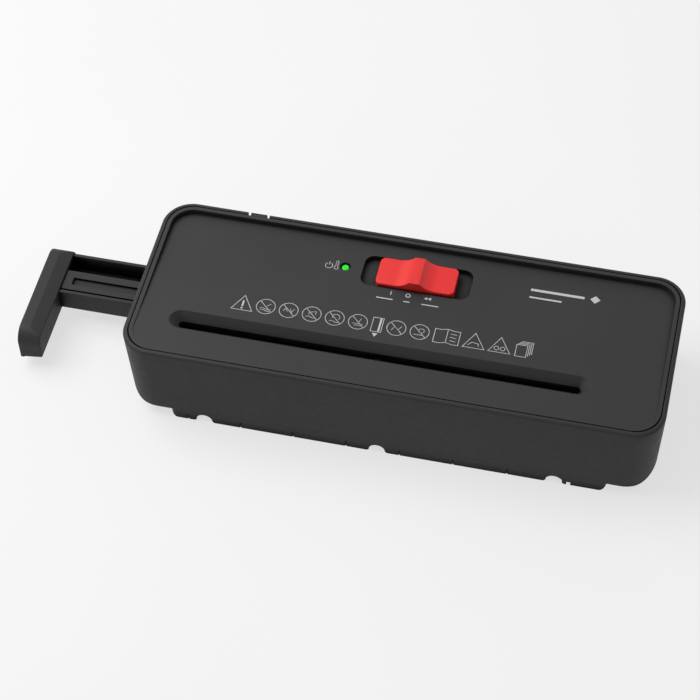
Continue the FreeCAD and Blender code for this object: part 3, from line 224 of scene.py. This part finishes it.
ACROSS = (0.03, 1, 1)
# every moulded finish has painted shade in its hollows; the black plastic's is strongest, so deep troughs
# go almost black, and the red slider's reaches only 3 mm
FINISHES = {
    "black_plastic": moulded("black_plastic", (0.032, 0.032, 0.032), 0.52, 5200, 0.3,
                             gloss=0.13, closed=0.6),
    "cover_plastic": moulded("cover_plastic", (0.032, 0.032, 0.032), 0.5, 5200, 0.3,
                             gloss=0.18, reach=9 * MM),
    "inner_plastic": moulded("inner_plastic", (0.008, 0.008, 0.008), 0.65, 2600, 0.3, gloss=0.12),
    "natural_nylon": moulded("natural_nylon", (0.72, 0.69, 0.6), 0.42, 900, 0.15, 0.04),
    "red_plastic": moulded("red_plastic", (0.66, 0.022, 0.02), 0.38, 2400, 0.1, 0.04,
                           coat=0.05, gloss=0.35, reach=3 * MM),
    "green_lens": lit_lens("green_lens", (0.015, 0.5, 0.022), 0.55),
    "cutter_steel": metal("cutter_steel", (0.5, 0.5, 0.51), 0.3, ACROSS),
    "plate_steel": metal("plate_steel", (0.62, 0.64, 0.66), 0.36, (1, 0.05, 1)),
    "screw_steel": metal("screw_steel", (0.4, 0.41, 0.43), 0.34, (1, 1, 0.1)),
    "bronze": metal("bronze", (0.62, 0.4, 0.18), 0.4, ACROSS, 500),
    "gear_steel": metal("gear_steel", (0.34, 0.34, 0.35), 0.45, (1, 1, 1), 1500),
    "magnet_ferrite": moulded("magnet_ferrite", (0.05, 0.05, 0.055), 0.7, 1500, 0.6),
    "copper": metal("copper", (0.78, 0.33, 0.16), 0.35, (20, 1, 1), 160, 0.6),
    "carbon": moulded("carbon", (0.02, 0.02, 0.02), 0.7, 1800, 0.5),
    "board_laminate": moulded("board_laminate", (0.42, 0.28, 0.1), 0.5, 1400, 0.2),
    "component_plastic": moulded("component_plastic", (0.8, 0.52, 0.06), 0.35, 1400, 0.1, coat=0.3),
    "relay_plastic": moulded("relay_plastic", (0.05, 0.14, 0.45), 0.35, 1400, 0.1, coat=0.3),
    "terminal_plastic": moulded("terminal_plastic", (0.03, 0.3, 0.09), 0.4, 1400, 0.1, coat=0.2),
    "fuse_ceramic": moulded("fuse_ceramic", (0.78, 0.75, 0.68), 0.3, 900, 0.1, 0.04, coat=0.4),
    "bush_rubber": moulded("bush_rubber", (0.018, 0.018, 0.018), 0.75, 1800, 0.5),
    "printed_ink": moulded("printed_ink", (0.42, 0.43, 0.44), 0.55, 3000, 0.2, 0.08),
}


WELD_REACH = 0.002 * MM
CREASE_ANGLE = math.radians(28)


def finish_cad_nodes():
    """Give every CAD node its procedural finish and smooth shading up to its creases."""
    slots = {part["node"]: part["material_slot"] for part in frame["record"]["subparts"]}
    for name, node in frame["nodes"].items():
        node.data.materials.clear()
        node.data.materials.append(FINISHES[slots[name]])
        node.data.shade_smooth()
        weld = node.modifiers.new("weld", "WELD")
        weld.merge_threshold = WELD_REACH
        split = node.modifiers.new("crease", "EDGE_SPLIT")
        split.split_angle = CREASE_ANGLE
        split.use_edge_sharp = False


# ---------------------------------------------------------------- printed marks on the cover

INK_LIFT = 0.02 * MM
INK_THICKNESS = 0.05 * MM
# a mitre is never drawn out further than by this share of the line's width
SHARPEST_MITRE = 0.35


def on_panel(u, v):
    """A point of the cover's panel, u right of the body's middle and v behind it, in mm."""
    y = v * MM
    return Vector((MIDDLE_X + u * MM, y, panel_height(y) + INK_LIFT))


def stroke(bm, points, width, closed=False):
    """A line of even width through points on the panel, mitred at its corners."""
    count = len(points)
    sides = []
    for index, point in enumerate(points):
        before = points[index - 1] if closed or index > 0 else None
        after = points[(index + 1) % count] if closed or index < count - 1 else None
        directions = [(Vector(point) - Vector(before)).normalized()] if before else []
        directions += [(Vector(after) - Vector(point)).normalized()] if after else []
        along = sum(directions, Vector((0, 0))).normalized()
        normal = Vector((-along.y, along.x))
        widening = 1 / max(SHARPEST_MITRE, abs(along.dot(directions[0])))
        offset = normal * (width / 2 * widening)
        sides.append([bm.verts.new(on_panel(*(Vector(point) + sign * offset))) for sign in (1, -1)])
    for index in range(count if closed else count - 1):
        first = sides[index]
        second = sides[(index + 1) % count]
        bm.faces.new((first[0], first[1], second[1], second[0]))


def patch(bm, points):
    """A filled outline on the panel."""
    bm.faces.new([bm.verts.new(on_panel(*point)) for point in points])


def arc(centre, radius, start=0, end=360, steps=32):
    """Points round a circle; the last is left out when the circle is whole."""
    whole = abs(end - start) >= 360
    count = steps if whole else steps + 1
    return [(centre[0] + radius * math.cos(math.radians(start + (end - start) * step / steps)),
             centre[1] + radius * math.sin(math.radians(start + (end - start) * step / steps)))
            for step in range(count)]


def printed(name, bm):
    """Turn flat print into a thin layer of ink on the cover."""
    bmesh.ops.recalc_face_normals(bm, faces=bm.faces)
    for face in bm.faces:
        if face.normal.z < 0:
            face.normal_flip()
    mesh = bpy.data.meshes.new(name)
    bm.to_mesh(mesh)
    bm.free()
    piece = bpy.data.objects.new(name, mesh)
    bpy.context.scene.collection.objects.link(piece)
    mesh.materials.append(FINISHES["printed_ink"])
    layer = piece.modifiers.new("ink_layer", "SOLIDIFY")
    layer.thickness = INK_THICKNESS
    layer.offset = -1
    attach(piece, "root")


ICON_Y = -9.6
ICON_SIZE = 5.25
LINE = 0.4
THIN_LINE = LINE * 0.85
MARK_LINE = 0.6


def triangle_icon(bm, x):
    """A triangle's outline in the icon row; returns the height of its base."""
    base = ICON_Y - 5.1
    corners = [(x - 6, base), (x + 6, base), (x - 0.3, base + 10.6)]
    stroke(bm, corners, LINE, closed=True)
    return base


def crossed_circle(bm, x):
    """A circle in the icon row with a bar across it."""
    stroke(bm, arc((x, ICON_Y), ICON_SIZE, steps=40), LINE, closed=True)
    reach = ICON_SIZE * math.cos(math.radians(45))
    stroke(bm, [(x - reach, ICON_Y + reach), (x + reach, ICON_Y - reach)], LINE)


def wave(x, y, length, rise, steps=12):
    """Points along one full wave of a line."""
    return [(x - length / 2 + length * step / steps, y + rise * math.sin(2 * math.pi * step / steps))
            for step in range(steps + 1)]


def guidance_icons():
    """A row of generic pictograms behind the feed slot."""
    bm = bmesh.new()
    base = triangle_icon(bm, -89.2)
    stroke(bm, [(-89.4, base + 2.8), (-89.4, base + 7)], 1)
    patch(bm, arc((-89.4, base + 1.5), 0.65, steps=12))
    circles = [-76.5 + 13.05 * step for step in range(5)] + [-2.7, 10.3]
    glyphs = [
        [wave(0, -1.6, 6.4, 0.5), wave(0, -2.8, 5.4, 0.5), [(0.4, 0.2), (2.6, 2.4)]],
        [[(-3, -1), (-1.8, 1.6), (-0.6, -1)], [(0.6, 1.4), (1.8, -1.2), (3, 1.4)]],
        [wave(0, -2.2, 6, 0.45), [(-1.6, -0.6), (-1.6, 1.2), (2.2, 2.2), (2.2, 0)]],
        [arc((0.6, 0.6), 2.1, -40, 200, 14), wave(0, -2.6, 5.6, 0.45)],
        [[(-3, -1.4), (3, -1.4)], [(-2, -2.6), (2, -2.6)], [(0.6, 0), (1.4, 2.6)]],
        [[(-2.6, -2), (-1, 1), (1, -1.2), (2.8, 1.8)]],
        [arc((0.9, 0.9), 1.5, steps=18) + [(2.4, 0.9)], [(-3, -2.2), (2.4, -2.2)]],
    ]
    for x, lines in zip(circles, glyphs):
        crossed_circle(bm, x)
        for line in lines:
            stroke(bm, [(x + u, ICON_Y + v) for u, v in line], THIN_LINE)
    # one sheet going into the slot, with a pointer below it
    x = -13.5
    stroke(bm, [(x - 2.9, ICON_Y - 4.9), (x + 2.9, ICON_Y - 4.9),
                (x + 2.9, ICON_Y + 5.2), (x - 2.9, ICON_Y + 5.2)], LINE, closed=True)
    stroke(bm, [(x + 1.5, ICON_Y - 4.6), (x + 1.5, ICON_Y + 4.9)], 1.1)
    patch(bm, [(x - 1.6, ICON_Y - 6), (x, ICON_Y - 8.6), (x + 1.6, ICON_Y - 6)])
    # an open booklet
    x = 25.4
    for side in (-1, 1):
        stroke(bm, [(x, ICON_Y - 4.4), (x + side * 3.5, ICON_Y - 5.3), (x + side * 7, ICON_Y - 5.2),
                    (x + side * 7, ICON_Y + 4.4), (x + side * 3.5, ICON_Y + 4.3), (x, ICON_Y + 5.2)], LINE)
    for row in range(3):
        stroke(bm, [(x + 1.8, ICON_Y + 2.2 - 2.4 * row), (x + 5.3, ICON_Y + 1.8 - 2.4 * row)], LINE)
    stroke(bm, [(x, ICON_Y - 4.4), (x, ICON_Y + 5.2)], LINE)
    # two plain triangles: a hand line and a pair of rollers
    base = triangle_icon(bm, 40.9)
    stroke(bm, [(37.6, base + 1.7), (39.6, base + 4), (43, base + 3.4), (43.6, base + 1.6)], LINE)
    base = triangle_icon(bm, 55.1)
    for side in (-1, 1):
        stroke(bm, arc((55 + side * 1.7, base + 2.7), 1.3, steps=18), LINE, closed=True)
    # a stack of sheets
    for step in range(4):
        left = 63.8 + step * 0.95
        right = left + 6
        low = ICON_Y - 5.6 + step * 0.85
        high = low + 8.2
        if step == 0:
            stroke(bm, [(left, low), (right, low), (right, high), (left, high)], LINE, closed=True)
        else:
            stroke(bm, [(left, high - 0.7), (left, high), (right, high), (right, low)], LINE)
    printed("printed_guidance_icons", bm)


def switch_marks():
    """I, O and a double pointer in front of the slide switch: on, off and reverse."""
    bm = bmesh.new()
    row = SLIDER_LOW.y / MM - 3.85
    middle = (SWITCH_X - MIDDLE_X) / MM
    stroke(bm, [(middle - 12.1, row - 1.4), (middle - 12.1, row + 1.4)], MARK_LINE)
    stroke(bm, arc((middle - 2.5, row), 1.2, steps=24), MARK_LINE, closed=True)
    for left in (middle + 6.5, middle + 8.6):
        patch(bm, [(left, row), (left + 2, row - 1.15), (left + 2, row + 1.15)])
    printed("printed_switch_marks", bm)


def plain_bars():
    """Plain bars below the switch marks, where words would stand."""
    bm = bmesh.new()
    row = SLIDER_LOW.y / MM - 8.5
    middle = (SWITCH_X - MIDDLE_X) / MM
    for left, right in ((-19.6, -10.2), (-4.2, -0.7), (5.9, 15.6)):
        stroke(bm, [(middle + left, row), (middle + right, row)], 0.75)
    printed("printed_bars", bm)


def light_marks():
    """Power and temperature symbols beside the light."""
    bm = bmesh.new()
    x = (LIGHT_CENTRE.x - MIDDLE_X) / MM
    y = LIGHT_CENTRE.y / MM
    stroke(bm, arc((x - 9.2, y - 1), 2, 125, 415, 28), 0.42)
    stroke(bm, [(x - 9.2, y - 0.4), (x - 9.2, y + 2)], 0.42)
    bulb = arc((x - 4.9, y - 2), 1.15, 120, 420, 20)
    stem = [(bulb[-1][0], y + 2.6)] + arc((x - 4.9, y + 2.6), 0.58, 0, 180, 8)[1:]
    stroke(bm, bulb + stem, 0.36, closed=True)
    printed("printed_light_marks", bm)


def maker_mark():
    """Two plain bands and a lozenge where a maker would print a name."""
    bm = bmesh.new()
    stroke(bm, [(64.5, 33.6), (94.5, 33.6)], 1.8)
    stroke(bm, [(64.5, 28.1), (82.5, 28.1)], 1.2)
    patch(bm, [(100.5, 30.8), (103.4, 33.6), (100.5, 36.4), (97.6, 33.6)])
    printed("printed_band", bm)


# ---------------------------------------------------------------- stage, light and camera

def add_area_light(name, offset, size, power):
    """A square lamp that stands off the cover's middle and points at it."""
    lamp = bpy.data.lights.new(name, "AREA")
    lamp.shape = "SQUARE"
    lamp.size = size
    lamp.energy = power
    item = bpy.data.objects.new(name, lamp)
    item.location = RIM_CENTRE + Vector(offset)
    item.rotation_mode = "QUATERNION"
    item.rotation_quaternion = (-Vector(offset)).to_track_quat("-Z", "Y")
    bpy.context.scene.collection.objects.link(item)


FLOOR_GAP = 0.2 * MM
FLOOR_HALF = 4
FLOOR_GLOW = 0.66


def pale_floor():
    """A pale floor just under the object, which gives off light so that it stays even."""
    bm = bmesh.new()
    bmesh.ops.create_grid(bm, x_segments=8, y_segments=8, size=FLOOR_HALF)
    mesh = bpy.data.meshes.new("floor")
    bm.to_mesh(mesh)
    bm.free()
    floor = bpy.data.objects.new("floor", mesh)
    floor.location.z = CAD_LOW.z - FLOOR_GAP
    bpy.context.scene.collection.objects.link(floor)
    material, nodes, links, shader = new_material("floor_paper")
    shader.inputs["Roughness"].default_value = 0.9
    shader.inputs["Emission Color"].default_value = (1, 1, 1, 1)
    shader.inputs["Emission Strength"].default_value = FLOOR_GLOW
    links.new(tint(nodes, links, noise(nodes, links, 6), (0.19, 0.19, 0.19), (0.2, 0.2, 0.2)),
              shader.inputs["Base Color"])
    mesh.materials.append(material)


HORIZON_STRENGTH = 0.74
ZENITH_STRENGTH = 0.36
FRONT_SHARE = 0.6
REAR_SHARE = 1.4


def surroundings():
    """White surroundings, brighter at the horizon and behind the object, and two soft lamps."""
    world = bpy.data.worlds.new("studio")
    world.use_nodes = True
    nodes = world.node_tree.nodes
    direction = nodes.new("ShaderNodeTexCoord")
    height = nodes.new("ShaderNodeSeparateXYZ")
    sky = nodes.new("ShaderNodeMapRange")
    sky.inputs["To Min"].default_value = HORIZON_STRENGTH
    sky.inputs["To Max"].default_value = ZENITH_STRENGTH
    side = nodes.new("ShaderNodeMapRange")
    side.inputs["From Min"].default_value = -1.0
    side.inputs["To Min"].default_value = FRONT_SHARE
    side.inputs["To Max"].default_value = REAR_SHARE
    strength = nodes.new("ShaderNodeMath")
    strength.operation = "MULTIPLY"
    world.node_tree.links.new(direction.outputs["Generated"], height.inputs["Vector"])
    world.node_tree.links.new(height.outputs["Z"], sky.inputs["Value"])
    world.node_tree.links.new(height.outputs["Y"], side.inputs["Value"])
    world.node_tree.links.new(sky.outputs["Result"], strength.inputs[0])
    world.node_tree.links.new(side.outputs["Result"], strength.inputs[1])
    world.node_tree.links.new(strength.outputs["Value"], nodes["Background"].inputs["Strength"])
    nodes["Background"].inputs["Color"].default_value = (1, 1, 1, 1)
    bpy.context.scene.world = world
    add_area_light("key", (-0.66, 0.1, 0.95), size=0.9, power=14)
    add_area_light("left", (-1.2, -0.3, 0.35), size=0.5, power=0.5)


def camera():
    """Camera above the front, a little to the right and turned slightly on its own axis."""
    azimuth = math.radians(14.39)
    elevation = math.radians(52.23)
    roll = math.radians(-1.97)
    offset = Vector((152.41, -717.95, 915.82)) * MM
    level_share = math.cos(elevation)
    back = Vector((math.sin(azimuth) * level_share, -math.cos(azimuth) * level_share,
                   math.sin(elevation)))
    level = (-back).cross(Vector((0, 0, 1))).normalized()
    upright = level.cross(-back)
    right = math.cos(roll) * level + math.sin(roll) * upright
    up = -math.sin(roll) * level + math.cos(roll) * upright
    data = bpy.data.cameras.new("camera")
    data.sensor_width = 36
    data.lens = 109.8
    item = bpy.data.objects.new("camera", data)
    turn = Matrix((right, up, back)).transposed().to_4x4()
    item.matrix_world = Matrix.Translation(RIM_CENTRE + offset) @ turn
    bpy.context.scene.collection.objects.link(item)
    bpy.context.scene.camera = item


finish_cad_nodes()
guidance_icons()
switch_marks()
plain_bars()
light_marks()
maker_mark()
pale_floor()
surroundings()
camera()
bpy.context.scene.view_settings.view_transform = "Standard"
